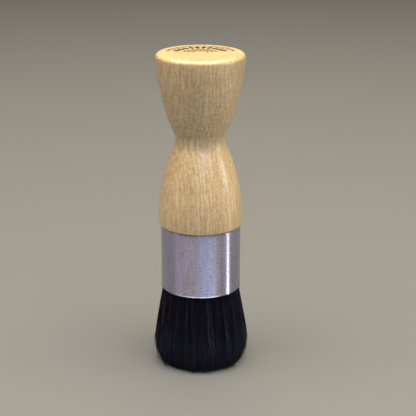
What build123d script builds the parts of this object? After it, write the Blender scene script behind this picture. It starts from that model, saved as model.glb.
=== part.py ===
"""Neck duster brush, the short barber's kind that stands on its bristles.

A turned hardwood handle is glued by a tenon into a short aluminium ferrule. The other end of
the ferrule holds the knot: a round bundle of bristles, tied with thread, set in resin at its
roots, and flared below the ferrule. Millimetres, +Z up. The origin is the centre of the bristle
tips, on the surface that the brush stands on, and +Z is the axis of the turned handle.
"""

import os
from math import cos, degrees, radians, sin, sqrt

from build123d import *

# Heights of the whole brush
TOTAL_HEIGHT = 100.0
BRISTLE_REACH = 25.2  # bristles below the ferrule's mouth
FERRULE_LENGTH = 20.6
FERRULE_TOP_Z = BRISTLE_REACH + FERRULE_LENGTH
SEAT_GAP = 0.2  # thin dark line between the ferrule and the handle's shoulder
JOINT_Z = FERRULE_TOP_Z + SEAT_GAP  # underside of the handle's shoulder

# Ferrule: a seamless tube
FERRULE_R = 12.5
FERRULE_WALL = 0.5
BORE_R = FERRULE_R - FERRULE_WALL
FERRULE_LIP_ROUND = 0.22

# Handle: an hourglass with a flat end
BELL_R = 13.1  # widest part of the lower half
BELL_TOP_Z = JOINT_Z + 2.3  # the lower half is straight up to here
BELL_PULL = 9.5  # how far the side goes on upright above that
SHOULDER_ROUND = 0.6
WAIST_R = 7.83
WAIST_Z = 73.2
WAIST_CURVE = 6.4  # radius of the hollow at the waist, seen from the side
WAIST_LEAN = 25.0  # degrees from upright of the sides next to the waist
WAIST_PULL_BELOW = 3.5
WAIST_PULL_ABOVE = 6.0
CUP_R = 13.65  # the flat end, at the foot of its rounded edge
CUP_ROUND = 1.3
CUP_LEAN = 2.0
CUP_PULL = 6.7

# Tenon, and the glue round it
TENON_LENGTH = 9.5
GLUE_GAP = 0.15
TENON_R = BORE_R - GLUE_GAP
TENON_CHAMFER = 0.6
GROOVE_WIDTH = 1.2
GROOVE_DEPTH = 0.4
GROOVE_HEIGHTS = [JOINT_Z - 3.0, JOINT_Z - 6.5]
GLUE_LENGTH = 8.4

# Knot: its roots, and the outline that its bristles spread to
ROOT_R = 11.2
ROOT_Z = 34.5  # upper ends of the bristles
SETTING_Z = 30.5  # lower face of the resin
RESIN_TOP_Z = 35.5
MOUTH_R = BORE_R - 0.1  # the bundle where it leaves the ferrule
FLARE_POINTS = [(12.85, 18.5), (14.15, 11.5)]  # radius and height, on the way out
FLARE_R = 15.0  # widest part of the knot
FLARE_Z = 4.8
TIP_R = 13.9  # on the surface that the brush stands on
LOCK_GAP = 0.12
RINGS = [("inner", 6), ("middle", 12), ("outer", 18)]  # locks in each ring round the core

# Thread round the roots
THREAD_R = 0.25
THREAD_CLEARANCE = 0.05
THREAD_PITCH = 0.55
THREAD_TURNS = 3
THREAD_Z = 31.6


def finish(part, label):
    """Name a finished piece and write its STEP file."""
    part.label = label
    export_step(part, f"parts/{label}.step")


def knot_outline(share, inset):
    """The knot's outline from root to tip, drawn in to a share of its radius, then by inset."""
    straight = [(ROOT_R, ROOT_Z), (ROOT_R, SETTING_Z), (MOUTH_R, BRISTLE_REACH)]
    flare = FLARE_POINTS + [(FLARE_R, FLARE_Z), (TIP_R, 0)]
    return [(share * r - inset, z) for r, z in straight + flare]


def lock_solid(inner, outer, angle, arc):
    """One lock of bristles: the space between two outlines, turned through an arc from an angle."""
    across = (cos(radians(angle)), sin(radians(angle)), 0)
    square_to_it = (across[1], -across[0], 0)
    with BuildPart() as lock:
        with BuildSketch(Plane(origin=(0, 0, 0), x_dir=across, z_dir=square_to_it)):
            with BuildLine():
                for outline in (inner, outer):
                    Polyline(*outline[:3])
                    Spline(*outline[2:])
                Line(inner[0], outer[0])
                Line(inner[-1], outer[-1])
            make_face()
        revolve(axis=Axis.Z, revolution_arc=arc)
    return lock.part


os.makedirs("parts", exist_ok=True)

# Handle: turned from one blank, with the tenon below its shoulder
sin_waist, cos_waist = sin(radians(WAIST_LEAN)), cos(radians(WAIST_LEAN))
hollow_end_r = WAIST_R + WAIST_CURVE * (1 - cos_waist)
hollow_low_z = WAIST_Z - WAIST_CURVE * sin_waist
hollow_high_z = WAIST_Z + WAIST_CURVE * sin_waist
cup_edge_z = TOTAL_HEIGHT - CUP_ROUND
tenon_end_z = JOINT_Z - TENON_LENGTH
with BuildPart() as handle:
    with BuildSketch(Plane.XZ):
        with BuildLine():
            Polyline(
                (CUP_R - CUP_ROUND, TOTAL_HEIGHT),
                (0, TOTAL_HEIGHT),
                (0, tenon_end_z),
                (TENON_R - TENON_CHAMFER, tenon_end_z),
                (TENON_R, tenon_end_z + TENON_CHAMFER),
                (TENON_R, JOINT_Z),
                (BELL_R - SHOULDER_ROUND, JOINT_Z),
            )
            JernArc(
                start=(BELL_R - SHOULDER_ROUND, JOINT_Z),
                tangent=(1, 0),
                radius=SHOULDER_ROUND,
                arc_size=90,
            )
            Line((BELL_R, JOINT_Z + SHOULDER_ROUND), (BELL_R, BELL_TOP_Z))
            Bezier(
                (BELL_R, BELL_TOP_Z),
                (BELL_R, BELL_TOP_Z + BELL_PULL),
                (
                    hollow_end_r + WAIST_PULL_BELOW * sin_waist,
                    hollow_low_z - WAIST_PULL_BELOW * cos_waist,
                ),
                (hollow_end_r, hollow_low_z),
            )
            ThreePointArc(
                (hollow_end_r, hollow_low_z), (WAIST_R, WAIST_Z), (hollow_end_r, hollow_high_z)
            )
            Bezier(
                (hollow_end_r, hollow_high_z),
                (
                    hollow_end_r + WAIST_PULL_ABOVE * sin_waist,
                    hollow_high_z + WAIST_PULL_ABOVE * cos_waist,
                ),
                (
                    CUP_R - CUP_PULL * sin(radians(CUP_LEAN)),
                    cup_edge_z - CUP_PULL * cos(radians(CUP_LEAN)),
                ),
                (CUP_R, cup_edge_z),
            )
            JernArc(
                start=(CUP_R, cup_edge_z), tangent=(0, 1), radius=CUP_ROUND, arc_size=90
            )
        make_face()
    revolve(axis=Axis.Z)
    with BuildSketch(Plane.XZ):
        with Locations(*[(TENON_R, z) for z in GROOVE_HEIGHTS]):
            Rectangle(2 * GROOVE_DEPTH, GROOVE_WIDTH)
    revolve(axis=Axis.Z, mode=Mode.SUBTRACT)
finish(handle.part, "handle")

# Glue: a thin sleeve round the tenon that also fills the tenon's grooves
with BuildPart() as handle_glue:
    with BuildSketch(Plane.XZ):
        with Locations((TENON_R, FERRULE_TOP_Z)):
            Rectangle(GLUE_GAP, GLUE_LENGTH, align=(Align.MIN, Align.MAX))
        with Locations(*[(TENON_R + GLUE_GAP, z) for z in GROOVE_HEIGHTS]):
            Rectangle(GROOVE_DEPTH + GLUE_GAP, GROOVE_WIDTH, align=(Align.MAX, Align.CENTER))
    revolve(axis=Axis.Z)
finish(handle_glue.part, "handle_glue")

# Ferrule: a length of tube whose mouth has its sharp edges burnished off
with BuildPart() as ferrule:
    with BuildSketch(Plane.XY.offset(BRISTLE_REACH)):
        Circle(FERRULE_R)
        Circle(BORE_R, mode=Mode.SUBTRACT)
    extrude(amount=FERRULE_LENGTH)
    fillet(ferrule.edges().group_by(Axis.Z)[0], radius=FERRULE_LIP_ROUND)
finish(ferrule.part, "ferrule")

# Knot: one round core lock, and rings of locks of the same cross-section area round it
total_locks = 1 + sum(count for _, count in RINGS)
core_share = sqrt(1 / total_locks)
core_axis = [(0, z) for _, z in knot_outline(1, 0)]
with BuildPart() as core_lock:
    core_side = knot_outline(core_share, LOCK_GAP / 2)
    with BuildSketch(Plane.XZ):
        with BuildLine():
            Polyline(*core_side[:3])
            Spline(*core_side[2:])
            Polyline(core_side[-1], core_axis[-1], core_axis[0], core_side[0])
        make_face()
    revolve(axis=Axis.Z)
locks = {"bristle_lock_core": core_lock.part}
placed = 1
for ring, count in RINGS:
    share_in = sqrt(placed / total_locks)
    placed += count
    share_out = sqrt(placed / total_locks)
    inner_side = knot_outline(share_in, -LOCK_GAP / 2)
    outer_side = knot_outline(share_out, LOCK_GAP / 2 if share_out < 1 else 0)
    pitch = 360 / count
    gap = degrees(LOCK_GAP / (ROOT_R * share_out))
    for i in range(count):
        solid = lock_solid(inner_side, outer_side, i * pitch + gap / 2, pitch - gap)
        locks[f"bristle_lock_{ring}_{i + 1:02d}"] = solid
for label, solid in locks.items():
    finish(solid, label)

# Thread: wound round the roots in one helix, and knotted under the resin
with BuildPart() as knot_thread:
    with BuildLine() as winding:
        Helix(
            pitch=THREAD_PITCH,
            height=THREAD_PITCH * THREAD_TURNS,
            radius=ROOT_R + THREAD_CLEARANCE + THREAD_R,
            center=(0, 0, THREAD_Z),
        )
    with BuildSketch(Plane(origin=winding.line @ 0, z_dir=winding.line % 0)):
        Circle(THREAD_R)
    sweep()
finish(knot_thread.part, "knot_thread")

# Resin: poured into the ferrule round the roots, so every lock has its own socket in it
with BuildPart() as resin_set:
    with BuildSketch(Plane.XY.offset(SETTING_Z)):
        Circle(BORE_R)
    extrude(amount=RESIN_TOP_Z - SETTING_Z)
    with BuildSketch(Plane.XY.offset(THREAD_Z - 2 * THREAD_R)):
        Circle(ROOT_R + 2 * (THREAD_R + THREAD_CLEARANCE))
        Circle(ROOT_R, mode=Mode.SUBTRACT)
    extrude(amount=THREAD_PITCH * THREAD_TURNS + 4 * THREAD_R, mode=Mode.SUBTRACT)
    add(list(locks.values()), mode=Mode.SUBTRACT)
finish(resin_set.part, "resin_set")
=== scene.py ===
"""A short barber's neck duster: turned wooden handle, metal ferrule, flared knot of bristles.

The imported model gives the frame, in metres, with +Z up the brush and the bristle tips at zero.
Sizes below are in millimetres, and MM turns them to metres where a mesh or a pattern is made.
"""

import random
from math import cos, pi, radians, sin, sqrt

import bmesh
import bpy
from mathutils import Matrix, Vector
from mathutils.geometry import interpolate_bezier


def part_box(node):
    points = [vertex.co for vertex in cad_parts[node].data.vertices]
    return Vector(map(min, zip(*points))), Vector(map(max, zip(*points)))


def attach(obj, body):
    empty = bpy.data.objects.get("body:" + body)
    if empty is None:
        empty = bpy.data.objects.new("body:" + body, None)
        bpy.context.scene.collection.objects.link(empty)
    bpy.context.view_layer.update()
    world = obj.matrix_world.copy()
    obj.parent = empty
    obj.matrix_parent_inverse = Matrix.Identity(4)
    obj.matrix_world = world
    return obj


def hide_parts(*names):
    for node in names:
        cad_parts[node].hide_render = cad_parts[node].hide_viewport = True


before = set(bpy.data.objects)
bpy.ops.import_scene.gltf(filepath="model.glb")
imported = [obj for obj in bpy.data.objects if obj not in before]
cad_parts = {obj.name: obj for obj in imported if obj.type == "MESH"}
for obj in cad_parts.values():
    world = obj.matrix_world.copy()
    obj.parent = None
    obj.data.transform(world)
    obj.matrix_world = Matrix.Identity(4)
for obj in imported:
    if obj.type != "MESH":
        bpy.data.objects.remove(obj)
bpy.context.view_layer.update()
MM = 0.001


# The handle -----------------------------------------------------------------------------------
# One piece of pale, close-grained beech, turned between centres to an hourglass, with a tenon
# below its shoulder for the ferrule. It is sanded fine and dipped in a honey-coloured lacquer.
BELL_R = 13.1  # widest part of the lower half
BELL_STRAIGHT = 2.3  # the lower half is straight for this far above the joint
BELL_PULL = 9.5
SHOULDER_ROUND = 0.6
BORE_R = 12.0  # of the ferrule, which the tenon is glued into
GLUE_GAP = 0.15
TENON_R = BORE_R - GLUE_GAP
TENON_CHAMFER = 0.6
SEAT_GAP = 0.2  # thin dark line between the ferrule and the handle's shoulder
WAIST_R = 7.83
WAIST_Z = 73.2
WAIST_CURVE = 6.4  # radius of the hollow at the waist, seen from the side
WAIST_LEAN = 25.0  # degrees from upright of the sides next to the waist
WAIST_PULL_BELOW = 3.5
WAIST_PULL_ABOVE = 6.0
CUP_R = 13.65  # the flat end, at the foot of its rounded edge
CUP_ROUND = 1.3
CUP_LEAN = 2.0
CUP_PULL = 6.7
HANDLE_STEPS = 180  # round the axis

tenon_z, end_z = (point.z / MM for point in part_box("handle"))
ferrule_top_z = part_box("ferrule")[1].z / MM
joint_z = ferrule_top_z + SEAT_GAP
bell_top_z = joint_z + BELL_STRAIGHT


def curve(start, pull, far_pull, end, steps):
    """A Bezier stretch of an outline, from just after its start to its end."""
    points = [Vector((*p, 0)) for p in (start, pull, far_pull, end)]
    return [(p.x, p.y) for p in interpolate_bezier(*points, steps + 1)[1:]]


def corner(centre_r, centre_z, radius, start, end, steps):
    """A round stretch of an outline, between two directions given in degrees."""
    angles = [radians(start + (end - start) * i / steps) for i in range(1, steps + 1)]
    return [(centre_r + radius * cos(a), centre_z + radius * sin(a)) for a in angles]


def mesh_object(name, bm, smooth_degrees):
    """Make an object of a finished bmesh, shaded smooth except over sharp edges."""
    bmesh.ops.recalc_face_normals(bm, faces=bm.faces)
    for face in bm.faces:
        face.smooth = True
    for edge in bm.edges:
        if edge.is_manifold and edge.calc_face_angle() > radians(smooth_degrees):
            edge.smooth = False
    mesh = bpy.data.meshes.new(name)
    bm.to_mesh(mesh)
    bm.free()
    made = bpy.data.objects.new(name, mesh)
    bpy.context.scene.collection.objects.link(made)
    return made


def turn(name, outline, closed, steps):
    """Turn an outline of (radius, height) points round the Z axis into a solid.

    A closed outline joins its last point to its first, which makes a ring or a tube. A point on
    the axis is one vertex, so the faces that meet there are triangles.
    """
    bm = bmesh.new()
    rings = []
    for r, z in outline:
        angles = [2 * pi * i / steps for i in range(steps if r > 0 else 1)]
        rings.append([bm.verts.new((r * cos(a) * MM, r * sin(a) * MM, z * MM)) for a in angles])
    pairs = list(zip(rings, rings[1:]))
    if closed:
        pairs.append((rings[-1], rings[0]))
    for first, second in pairs:
        for i in range(steps):
            here, there = i % len(first), (i + 1) % len(first)
            across = [second[(i + 1) % len(second)], second[i % len(second)]]
            bm.faces.new(dict.fromkeys([first[here], first[there], *across]))
    return mesh_object(name, bm, 40)


lean_out, lean_up = sin(radians(WAIST_LEAN)), cos(radians(WAIST_LEAN))
hollow_r = WAIST_R + WAIST_CURVE * (1 - lean_up)
low_hollow = (hollow_r, WAIST_Z - WAIST_CURVE * lean_out)
high_hollow = (hollow_r, WAIST_Z + WAIST_CURVE * lean_out)
cup_edge = (CUP_R, end_z - CUP_ROUND)
outline = [
    (0, tenon_z),
    (TENON_R - TENON_CHAMFER, tenon_z),
    (TENON_R, tenon_z + TENON_CHAMFER),
    (TENON_R, joint_z),
    (BELL_R - SHOULDER_ROUND, joint_z),
]
outline += corner(BELL_R - SHOULDER_ROUND, joint_z + SHOULDER_ROUND, SHOULDER_ROUND, -90, 0, 6)
outline += [(BELL_R, bell_top_z)]
outline += curve(
    (BELL_R, bell_top_z),
    (BELL_R, bell_top_z + BELL_PULL),
    (hollow_r + WAIST_PULL_BELOW * lean_out, low_hollow[1] - WAIST_PULL_BELOW * lean_up),
    low_hollow,
    20,
)
outline += corner(
    WAIST_R + WAIST_CURVE, WAIST_Z, WAIST_CURVE, 180 + WAIST_LEAN, 180 - WAIST_LEAN, 10
)
outline += curve(
    high_hollow,
    (hollow_r + WAIST_PULL_ABOVE * lean_out, high_hollow[1] + WAIST_PULL_ABOVE * lean_up),
    (
        CUP_R - CUP_PULL * sin(radians(CUP_LEAN)),
        cup_edge[1] - CUP_PULL * cos(radians(CUP_LEAN)),
    ),
    cup_edge,
    20,
)
outline += corner(CUP_R - CUP_ROUND, cup_edge[1], CUP_ROUND, 0, 90, 10)
outline += [(0, end_z)]
handle = turn("handle_turned", outline, False, HANDLE_STEPS)


def linear(hex_colour):
    """An sRGB hex colour as the linear colour that a shader socket takes."""
    parts = [int(hex_colour[i : i + 2], 16) / 255 for i in (1, 3, 5)]
    return [c / 12.92 if c <= 0.04045 else ((c + 0.055) / 1.055) ** 2.4 for c in parts] + [1]


def add_node(material, kind, settings, feeds):
    """Add a shader node, set its settings, and feed its inputs with values, outputs or nodes.

    A node that is given stands for its first output that is in use.
    """
    node = material.node_tree.nodes.new("ShaderNode" + kind)
    for name, value in settings.items():
        setattr(node, name, value)
    for name, value in feeds.items():
        if isinstance(value, bpy.types.Node):
            value = next(output for output in value.outputs if output.enabled)
        if isinstance(value, bpy.types.NodeSocket):
            material.node_tree.links.new(value, node.inputs[name])
        else:
            node.inputs[name].default_value = value
    return node


def new_material(name):
    """An empty material and its Object coordinates. finish_material() adds its shader."""
    material = bpy.data.materials.new(name)
    material.use_nodes = True
    material.node_tree.nodes.clear()
    return material, add_node(material, "TexCoord", {}, {}).outputs["Object"]


def finish_material(material, feeds):
    """Close a material with one Principled shader that takes these inputs."""
    surface = add_node(material, "BsdfPrincipled", {}, feeds)
    add_node(material, "OutputMaterial", {}, {"Surface": surface})


def per_mm(across, along):
    """The scale that makes one unit of a pattern this many mm across and along the brush."""
    return (1 / (across * MM), 1 / (across * MM), 1 / (along * MM))


# Lacquered beech: fine growth lines and streaks along the handle, short darker pores and a faint
# curl across them. The satin lacquer gives a soft, wide shine and leaves a trace of open grain.
FIGURE = (5.5, 40.0)  # each pattern's size across and along the handle
STREAK = (0.5, 16.0)
PORE = (0.3, 2.0)
CURL = (1.1, 0.7)
RING_WIDTH = 1.25  # growth lines
RING_STRETCH = 9  # how much longer than wide their waviness is
PITH_AWAY = 46.0  # from the handle's axis to the middle of the tree
ONE_RING = 2 * pi / 20  # the wave texture's own spacing
beech, place = new_material("lacquered_beech")
figure_place = add_node(beech, "Mapping", {}, {"Vector": place, "Scale": per_mm(*FIGURE)})
figure = add_node(
    beech, "TexNoise", {}, {"Vector": figure_place, "Scale": 1.0, "Detail": 3.0, "Roughness": 0.5}
)
ring_place = add_node(
    beech,
    "Mapping",
    {},
    {
        "Vector": place,
        "Scale": per_mm(RING_WIDTH, RING_WIDTH * RING_STRETCH),
        "Rotation": (radians(1.5), radians(2), radians(-20)),
        "Location": (PITH_AWAY / RING_WIDTH, 6.0, 0),
    },
)
rings = add_node(
    beech,
    "TexWave",
    {"wave_type": "RINGS", "rings_direction": "Z", "wave_profile": "SIN"},
    {
        "Vector": ring_place,
        "Scale": ONE_RING,
        "Distortion": 9.0,
        "Detail": 3.0,
        "Detail Scale": 1.1,
        "Detail Roughness": 0.6,
    },
)
streak_place = add_node(
    beech,
    "Mapping",
    {},
    {"Vector": place, "Scale": per_mm(*STREAK), "Rotation": (radians(2), radians(3), radians(20))},
)
streaks = add_node(
    beech, "TexNoise", {}, {"Vector": streak_place, "Scale": 1.0, "Detail": 4.0, "Roughness": 0.65}
)
pore_place = add_node(
    beech,
    "Mapping",
    {},
    {"Vector": place, "Scale": per_mm(*PORE), "Rotation": (radians(2), radians(3), radians(75))},
)
pores = add_node(
    beech, "TexNoise", {}, {"Vector": pore_place, "Scale": 1.0, "Detail": 2.0, "Roughness": 0.5}
)
curl_place = add_node(
    beech, "Mapping", {}, {"Vector": place, "Scale": per_mm(*CURL), "Rotation": (0, 0, radians(30))}
)
curl = add_node(
    beech, "TexNoise", {}, {"Vector": curl_place, "Scale": 1.0, "Detail": 2.0, "Distortion": 1.2}
)

heart = add_node(beech, "MapRange", {}, {"Value": figure, "From Min": 0.32, "From Max": 0.68})
plain = add_node(
    beech, "Mix", {"data_type": "RGBA"}, {0: heart, 6: linear("#ceab7b"), 7: linear("#e0c192")}
)
ring_depth = add_node(
    beech,
    "MapRange",
    {},
    {"Value": rings, "From Min": 0.45, "From Max": 1.0, "To Min": 0, "To Max": 0.46},
)
ringed = add_node(
    beech, "Mix", {"data_type": "RGBA"}, {0: ring_depth, 6: plain, 7: linear("#a98657")}
)
streak_depth = add_node(
    beech,
    "MapRange",
    {},
    {"Value": streaks, "From Min": 0.36, "From Max": 0.58, "To Min": 0.75, "To Max": 0},
)
streaked = add_node(
    beech, "Mix", {"data_type": "RGBA"}, {0: streak_depth, 6: ringed, 7: linear("#a98457")}
)
pore_depth = add_node(
    beech,
    "MapRange",
    {},
    {"Value": pores, "From Min": 0.56, "From Max": 0.72, "To Min": 0, "To Max": 0.38},
)
pored = add_node(
    beech, "Mix", {"data_type": "RGBA"}, {0: pore_depth, 6: streaked, 7: linear("#8f6a42")}
)
curl_depth = add_node(
    beech,
    "MapRange",
    {},
    {"Value": curl, "From Min": 0.42, "From Max": 0.7, "To Min": 0, "To Max": 0.4},
)
bare_wood = add_node(
    beech, "Mix", {"data_type": "RGBA"}, {0: curl_depth, 6: pored, 7: linear("#edd5aa")}
)

# A plain burned border on the far half of the handle's flat end: a row of lozenges between thin
# arcs, each pressed with a hot iron, so it is dark brown and uneven.
BORDER_R = 7.8  # the middle of the row of lozenges
BORDER_HALF = 2.0
LOZENGES_ROUND = 26  # as many as a whole circle would hold
LOZENGE_FILL = 0.48  # just under half, so that they don't quite meet
ARCS = (BORDER_R + 2.6, BORDER_R - 2.6, 3.9, 2.6)
ARC_HALF = 0.34
CHAR_PATCH = 0.6
SIDE_MARGIN = 0.25  # how far the border stops from the middle line, as a share of the radius
split = add_node(beech, "SeparateXYZ", {}, {"Vector": place}).outputs
flat_place = add_node(beech, "CombineXYZ", {}, {"X": split["X"], "Y": split["Y"]})
radius = add_node(beech, "VectorMath", {"operation": "LENGTH"}, {0: flat_place})
angle = add_node(beech, "Math", {"operation": "ARCTAN2"}, {0: split["Y"], 1: split["X"]})
turns = add_node(beech, "Math", {"operation": "MULTIPLY"}, {0: angle, 1: LOZENGES_ROUND / (2 * pi)})
along_row = add_node(beech, "Math", {"operation": "PINGPONG"}, {0: turns, 1: 0.5})
off_row = add_node(beech, "Math", {"operation": "SUBTRACT"}, {0: radius, 1: BORDER_R * MM})
off_row = add_node(beech, "Math", {"operation": "ABSOLUTE"}, {0: off_row})
across_row = add_node(
    beech, "Math", {"operation": "DIVIDE"}, {0: off_row, 1: 2 * BORDER_HALF * MM}
)
lozenge_edge = add_node(beech, "Math", {"operation": "ADD"}, {0: along_row, 1: across_row})
marks = add_node(beech, "Math", {"operation": "LESS_THAN"}, {0: lozenge_edge, 1: LOZENGE_FILL})
for arc_r in ARCS:
    arc = add_node(
        beech, "Math", {"operation": "COMPARE"}, {0: radius, 1: arc_r * MM, 2: ARC_HALF * MM}
    )
    marks = add_node(beech, "Math", {"operation": "MAXIMUM"}, {0: marks, 1: arc})
on_end = add_node(
    beech, "Math", {"operation": "GREATER_THAN"}, {0: split["Z"], 1: (end_z - 0.05) * MM}
)
sector = add_node(beech, "Math", {"operation": "MULTIPLY"}, {0: radius, 1: SIDE_MARGIN})
far_half = add_node(beech, "Math", {"operation": "GREATER_THAN"}, {0: split["Y"], 1: sector})
marks = add_node(beech, "Math", {"operation": "MULTIPLY"}, {0: marks, 1: on_end})
marks = add_node(beech, "Math", {"operation": "MULTIPLY"}, {0: marks, 1: far_half})
char_place = add_node(
    beech, "Mapping", {}, {"Vector": place, "Scale": per_mm(CHAR_PATCH, CHAR_PATCH)}
)
char = add_node(beech, "TexNoise", {}, {"Vector": char_place, "Scale": 1.0, "Detail": 2.0})
char_depth = add_node(
    beech,
    "MapRange",
    {},
    {"Value": char, "From Min": 0.3, "From Max": 0.45, "To Min": 0.8, "To Max": 1},
)
burned = add_node(beech, "Math", {"operation": "MULTIPLY"}, {0: marks, 1: char_depth})
wood_colour = add_node(
    beech, "Mix", {"data_type": "RGBA"}, {0: burned, 6: bare_wood, 7: linear("#0d0703")}
)

open_grain = add_node(beech, "Math", {"operation": "ADD"}, {0: streaks, 1: curl})
relief = add_node(beech, "Bump", {}, {"Strength": 0.2, "Distance": 0.05 * MM, "Height": open_grain})
shine = add_node(
    beech,
    "MapRange",
    {},
    {"Value": streaks, "From Min": 0.3, "From Max": 0.7, "To Min": 0.56, "To Max": 0.44},
)
finish_material(
    beech,
    {
        "Base Color": wood_colour,
        "Roughness": shine,
        "IOR": 1.5,
        "Coat Weight": 0.85,
        "Coat Roughness": 0.33,
        "Coat IOR": 1.6,
        "Normal": relief,
    },
)
handle.data.materials.append(beech)
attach(handle, "root")
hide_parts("handle")


# The ferrule ----------------------------------------------------------------------------------
# A 20.6 mm length of 25 mm seamless aluminium tube with a half-millimetre wall. It was spun
# against fine abrasive, and its mouth's sharp edge was burnished, which rolled it out a little.
LIP_ROUND = 0.22
LIP_ROLL = 0.1  # how far the burnished edge stands proud of the tube
LIP_HEIGHT = 0.42
TOP_CHAMFER = 0.12
FERRULE_STEPS = 180  # round the axis
ferrule_low, ferrule_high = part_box("ferrule")
mouth_z = ferrule_low.z / MM
ferrule_r = ferrule_high.x / MM

outline = [(BORE_R, ferrule_top_z), (BORE_R, mouth_z + LIP_ROUND)]
outline += corner(BORE_R + LIP_ROUND, mouth_z + LIP_ROUND, LIP_ROUND, 180, 270, 4)
outline += corner(ferrule_r + LIP_ROLL - LIP_ROUND, mouth_z + LIP_ROUND, LIP_ROUND, 270, 415, 9)
outline += [
    (ferrule_r, mouth_z + LIP_HEIGHT),
    (ferrule_r, ferrule_top_z - TOP_CHAMFER),
    (ferrule_r - TOP_CHAMFER, ferrule_top_z),
]
ferrule = turn("ferrule_tube", outline, True, FERRULE_STEPS)

# Spun aluminium: an even, fine mottle left by the abrasive and faint streaks up the tube. Its
# roughness is greater up the tube than round it, so each light gives one narrow upright line.
MOTTLE = (0.4, 0.5)  # each pattern's size across and along the tube
DRAWN = (0.7, 9.0)
aluminium, place = new_material("spun_aluminium")
mottle_place = add_node(aluminium, "Mapping", {}, {"Vector": place, "Scale": per_mm(*MOTTLE)})
mottle = add_node(
    aluminium,
    "TexNoise",
    {},
    {"Vector": mottle_place, "Scale": 1.0, "Detail": 2.0, "Roughness": 0.6},
)
drawn_place = add_node(aluminium, "Mapping", {}, {"Vector": place, "Scale": per_mm(*DRAWN)})
drawn = add_node(aluminium, "TexNoise", {}, {"Vector": drawn_place, "Scale": 1.0, "Detail": 2.0})
metal_marks = add_node(
    aluminium, "Mix", {"data_type": "FLOAT"}, {"Factor": 0.3, "A": mottle, "B": drawn}
)
metal_tone = add_node(
    aluminium, "MapRange", {}, {"Value": metal_marks, "From Min": 0.35, "From Max": 0.65}
)
metal_colour = add_node(
    aluminium,
    "Mix",
    {"data_type": "RGBA"},
    {0: metal_tone, 6: linear("#b6aecb"), 7: linear("#dbdaf6")},
)
metal_shine = add_node(
    aluminium,
    "MapRange",
    {},
    {"Value": mottle, "From Min": 0.3, "From Max": 0.7, "To Min": 0.27, "To Max": 0.32},
)
metal_relief = add_node(
    aluminium, "Bump", {}, {"Strength": 0.03, "Distance": 0.02 * MM, "Height": metal_marks}
)
round_the_tube = add_node(aluminium, "Tangent", {"direction_type": "RADIAL", "axis": "Z"}, {})
finish_material(
    aluminium,
    {
        "Base Color": metal_colour,
        "Metallic": 1.0,
        "Roughness": metal_shine,
        "Anisotropic": 0.97,
        "Anisotropic Rotation": 0.25,
        "Tangent": round_the_tube,
        "Normal": metal_relief,
    },
)
ferrule.data.materials.append(aluminium)
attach(ferrule, "root")
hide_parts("ferrule")


# The glue, the resin and the thread -----------------------------------------------------------
# These are hidden in the ferrule. Wood glue fills the gap round the tenon and its two grooves,
# clear amber epoxy sets the roots, and three turns of waxed linen thread tie them. Their shapes
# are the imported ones.
def plain_material(name, dark, light, patch, roughness, coat):
    """A material of two near tones in soft patches, with its patch size in mm."""
    material, place = new_material(name)
    patch_place = add_node(
        material, "Mapping", {}, {"Vector": place, "Scale": per_mm(patch, patch)}
    )
    patches = add_node(material, "TexNoise", {}, {"Vector": patch_place, "Scale": 1.0})
    colour = add_node(
        material, "Mix", {"data_type": "RGBA"}, {0: patches, 6: linear(dark), 7: linear(light)}
    )
    dents = add_node(
        material, "Bump", {}, {"Strength": 0.2, "Distance": 0.05 * MM, "Height": patches}
    )
    finish_material(
        material,
        {"Base Color": colour, "Roughness": roughness, "Coat Weight": coat, "Normal": dents},
    )
    return material


hidden = {
    "handle_glue": plain_material("dried_wood_glue", "#b89a5c", "#d8c48c", 1.5, 0.55, 0.0),
    "resin_set": plain_material("cast_amber_epoxy", "#6a4a1e", "#93692e", 2.5, 0.18, 0.4),
    "knot_thread": plain_material("waxed_linen_thread", "#8f8468", "#c4b998", 0.3, 0.7, 0.0),
}
for node_name, material in hidden.items():
    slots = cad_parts[node_name].data.materials
    slots.clear()
    slots.append(material)


# The bristles ---------------------------------------------------------------------------------
# Many thousand near-black bristles, about 0.15 mm thick here and tapered to their tips.
# They are packed tight in the ferrule, spread below it, and gather into small tufts that rest on
# the table. Each of the model's 37 locks of bristles is one piece.
RINGS = [("core", 1), ("inner", 6), ("middle", 12), ("outer", 18)]
BRISTLES = {"core": 120, "inner": 140, "middle": 300, "outer": 620}  # in each lock
TUFTS = {"core": 6, "inner": 8, "middle": 14, "outer": 34}
BRISTLE_R = 0.09  # each bristle is 0.6 to 1.1 of this, or a little more if it strays
BRISTLE_POINTS = 8
BRISTLE_SIDES = 4
ROOT_R = 11.2
ROOT_Z = 31.2  # upper ends of the bristles, in the resin
SETTING_Z = 30.5  # lower face of the resin
MOUTH_R = 11.9
FLARE_R = 14.3  # widest part of the knot, apart from stray bristles
FLARE_Z = 6.5
TIP_R = 13.1
GATHER = 0.16  # the share of the way that a bristle's tip is drawn to its tuft's middle
SKIN_SHARE = 0.965  # bristles outside this share of the knot's radius are its skin
chance = random.Random(7)


def knot_radius(z):
    """The knot's outer radius at a height: straight in the ferrule, flared, then curled in."""
    if z > mouth_z:
        return MOUTH_R + (ROOT_R - MOUTH_R) * min(1, (z - mouth_z) / (SETTING_Z - mouth_z))
    out = min(1, (mouth_z - z) / (mouth_z - FLARE_Z))
    spread = MOUTH_R + (FLARE_R - MOUTH_R) * (1 - (1 - out) ** 1.5)
    return spread - (FLARE_R - TIP_R) * max(0, 1 - z / FLARE_Z) ** 1.6


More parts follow.
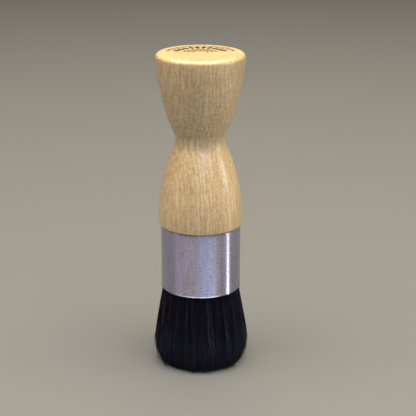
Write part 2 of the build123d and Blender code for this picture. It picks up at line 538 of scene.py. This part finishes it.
def bristle(share, bearing, tuft, loose, tip_z):
    """Points along one bristle, as (x, y, z, width), drawn towards its tuft as it goes down.

    The share is of the knot's radius, the bearing is round its axis, and loose is in mm.
    """
    tuft_share, tuft_bearing, tuft_out, tuft_side = tuft
    lean_out = chance.gauss(0, 0.16) + loose
    stray = 2.0 if chance.random() < 0.12 else 0.6
    lean_side = chance.gauss(0, stray) + chance.uniform(-1, 1) * loose
    wave = chance.uniform(0, 0.22)
    waves = chance.uniform(3, 8)
    phase = chance.uniform(0, 2 * pi)
    thick = chance.uniform(0.6, 1.1) + 0.12 * loose
    points = []
    for i in range(BRISTLE_POINTS):
        along = i / (BRISTLE_POINTS - 1)
        z = ROOT_Z + (tip_z - ROOT_Z) * along
        free = max(0, (mouth_z - z) / mouth_z)
        gather = GATHER * free**1.6
        s = share + (tuft_share - share) * gather
        a = bearing + (tuft_bearing - bearing) * gather
        r = s * knot_radius(z) + (tuft_out + lean_out) * free**1.8
        side = (tuft_side + lean_side) * free**1.5 + wave * free * sin(phase + waves * along)
        x = r * cos(a) - side * sin(a)
        y = r * sin(a) + side * cos(a)
        width = thick * (1 - 0.75 * max(0, along - 0.6) / 0.4)
        points.append((x, y, z, width))
    return points


def lock_of_bristles(name, ring, inner_share, outer_share, start, end):
    """One lock: every bristle a thin four-sided tube with closed ends, made as one mesh.

    The lock lies between two shares of the knot's radius and two bearings round its axis.
    """
    tufts = []
    for _ in range(TUFTS[ring]):
        share = sqrt(chance.uniform(inner_share**2, outer_share**2))
        stray = chance.uniform(0.5, 1.2) if share > 0.96 and chance.random() < 0.2 else 0
        out = chance.gauss(0, 0.15) + stray
        tufts.append((share, chance.uniform(start, end), out, chance.gauss(0, 0.4)))
    strands = bpy.data.curves.new(name, "CURVE")
    strands.dimensions = "3D"
    strands.bevel_depth = BRISTLE_R * MM
    strands.bevel_resolution = 0
    strands.use_fill_caps = True
    tones = []
    for _ in range(BRISTLES[ring]):
        share = sqrt(chance.uniform(inner_share**2, outer_share**2))
        if ring == "outer" and chance.random() < 0.35:
            share = chance.uniform(SKIN_SHARE, 1)
        bearing = chance.uniform(start, end)
        near = min(tufts, key=lambda t: abs(t[0] - share) + abs(t[1] - bearing) * share)
        loose = chance.uniform(0.4, 1.5) if share > SKIN_SHARE and chance.random() < 0.22 else 0
        short = chance.uniform(0.5, 6) if chance.random() < 0.15 else 0
        tip_z = chance.uniform(0.12, 0.9) + short + chance.uniform(1, 4) * loose
        spline = strands.splines.new("POLY")
        spline.points.add(BRISTLE_POINTS - 1)
        line = bristle(share, bearing, near, loose, tip_z)
        for point, (x, y, z, width) in zip(spline.points, line):
            point.co = (x * MM, y * MM, z * MM, 1)
            point.radius = width
        spline.use_smooth = True
        tones.append(chance.uniform(0.4, 1) if chance.random() < 0.07 else chance.uniform(0, 0.2))
    holder = bpy.data.objects.new(name + "_strands", strands)
    mesh = bpy.data.meshes.new_from_object(holder)
    mesh.name = name
    bpy.data.objects.remove(holder)
    bpy.data.curves.remove(strands)
    # The mesh lists the bristles' two end caps first, from the last bristle to the first
    values = [t for t in reversed(tones) for _ in range(2 * BRISTLE_SIDES)]
    values += [t for t in tones for _ in range(BRISTLE_POINTS * BRISTLE_SIDES)]
    mesh.attributes.new("tone", "FLOAT", "POINT").data.foreach_set("value", values)
    bm = bmesh.new()
    bm.from_mesh(mesh)
    bmesh.ops.remove_doubles(bm, verts=bm.verts, dist=0.00001 * MM)
    bm.to_mesh(mesh)
    bm.free()
    made = bpy.data.objects.new(name, mesh)
    bpy.context.scene.collection.objects.link(made)
    return made


# Black bristle: smooth and a little waxy, so it shines in thin cool streaks. Each bristle has its
# own tone, and a few that are greyer and smoother than the rest catch the light. The tone is
# painted darker near the ferrule and lighter further down: painted shade under the ferrule and
# painted light on the lower bristles, on top of trimmed tips that are paler than the roots.
black, place = new_material("black_bristle")
tone = add_node(black, "Attribute", {"attribute_name": "tone"}, {}).outputs["Fac"]
height = add_node(black, "SeparateXYZ", {}, {"Vector": place}).outputs["Z"]
# Painted shade and light: each bristle's own tone is dimmed near the ferrule and raised lower down.
painted_shade_and_light = add_node(
    black,
    "MapRange",
    {},
    {"Value": height, "From Min": 24 * MM, "From Max": 4 * MM, "To Min": 0.35, "To Max": 1.3},
)
# Paler trimmed tips, partly painted light: every bristle is made lighter over its lowest 14 mm.
pale_tips_and_painted_light = add_node(
    black,
    "MapRange",
    {},
    {"Value": height, "From Min": 14 * MM, "From Max": 0, "To Min": 0, "To Max": 0.3},
)
hair_tone = add_node(
    black, "Math", {"operation": "MULTIPLY_ADD"}, {0: tone, 1: painted_shade_and_light, 2: pale_tips_and_painted_light}
)
hair_colour = add_node(
    black, "Mix", {"data_type": "RGBA"}, {0: hair_tone, 6: linear("#030204"), 7: linear("#4a4a5a")}
)
hair_shine = add_node(black, "MapRange", {}, {"Value": tone, "To Min": 0.42, "To Max": 0.3})
finish_material(
    black,
    {
        "Base Color": hair_colour,
        "Roughness": hair_shine,
        "IOR": 1.5,
        "Specular IOR Level": 0.2,
        "Specular Tint": linear("#ccbcff"),
    },
)

total = sum(count for _, count in RINGS)
placed = 0
for ring, count in RINGS:
    inner_share = sqrt(placed / total)
    placed += count
    outer_share = sqrt(placed / total)
    for i in range(count):
        node_name = "bristle_lock_core" if ring == "core" else f"bristle_lock_{ring}_{i + 1:02d}"
        start, end = 2 * pi * i / count, 2 * pi * (i + 1) / count
        lock = lock_of_bristles(
            node_name.replace("lock", "tuft"), ring, inner_share, outer_share, start, end
        )
        lock.data.materials.append(black)
        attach(lock, "root")
        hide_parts(node_name)


# The floor ------------------------------------------------------------------------------------
# A plain, matt floor, wide enough to fill the view from any side. Its own colour is a middle
# grey, which looks pale under these lights and doesn't light the handle's underside too much.
bm = bmesh.new()
bmesh.ops.create_circle(bm, cap_ends=True, segments=64, radius=6.0)
floor = mesh_object("floor", bm, 40)
pale, _ = new_material("pale_floor")
finish_material(pale, {"Base Color": linear("#6c6c6f"), "Roughness": 0.7})
floor.data.materials.append(pale)


# The light ------------------------------------------------------------------------------------
# Soft, warm studio light from four sides overhead, a wide cool window in front, a weak fill on
# the left, a narrow light low on the right for the ferrule's bright line, and a dim surround.
def soft_light(name, azimuth, elevation, distance, size, power, colour):
    """An area light that faces the middle of the brush, placed by direction in degrees.

    Azimuth 0 is in front of the brush and 90 is on its right. Distance and size are in metres.
    """
    data = bpy.data.lights.new(name, "AREA")
    data.shape = "RECTANGLE"
    data.size, data.size_y = size
    data.energy = power
    data.color = linear(colour)[:3]
    light = bpy.data.objects.new(name, data)
    a, e = radians(azimuth), radians(elevation)
    toward = Vector((sin(a) * cos(e), -cos(a) * cos(e), sin(e)))
    middle = Vector((0, 0, 0.05))
    light.location = middle + toward * distance
    light.rotation_euler = toward.to_track_quat("Z", "Y").to_euler()
    light.visible_camera = False
    bpy.context.scene.collection.objects.link(light)


soft_light("overhead", 10, 78, 0.9, (1.0, 1.0), 10.7, "#fff8da")
soft_light("overhead_left", -75, 66, 0.9, (0.5, 0.5), 4.6, "#fff8ee")
soft_light("overhead_right", 75, 70, 0.9, (0.5, 0.5), 5.6, "#fff4c8")
soft_light("overhead_back", 180, 68, 0.9, (0.5, 0.5), 3.4, "#fff4c8")
soft_light("left_fill", -72, 24, 0.9, (0.3, 0.5), 0.35, "#f8dcf8")
soft_light("window", 21, 32, 0.9, (0.78, 0.2), 2.6, "#96c4ff")
soft_light("side", 83, 9, 0.9, (0.015, 0.2), 1.5, "#fffff4")
world = bpy.data.worlds.new("studio")
bpy.context.scene.world = world
world.use_nodes = True
world.node_tree.nodes["Background"].inputs["Color"].default_value = linear("#ece6f2")
world.node_tree.nodes["Background"].inputs["Strength"].default_value = 0.11
bpy.context.scene.view_settings.view_transform = "Standard"


# The camera -----------------------------------------------------------------------------------
# It stands a little over a third of a metre away, above the brush, and looks down on it.
camera_data = bpy.data.cameras.new("camera")
camera_data.sensor_width = 36
camera_data.lens = 100.7
camera_data.clip_start = 0.01
camera = bpy.data.objects.new("camera", camera_data)
camera.location = (0.0023, -0.3455, 0.169)
camera.rotation_euler = (radians(90 - 18.9), 0, 0)
bpy.context.scene.collection.objects.link(camera)
bpy.context.scene.camera = camera
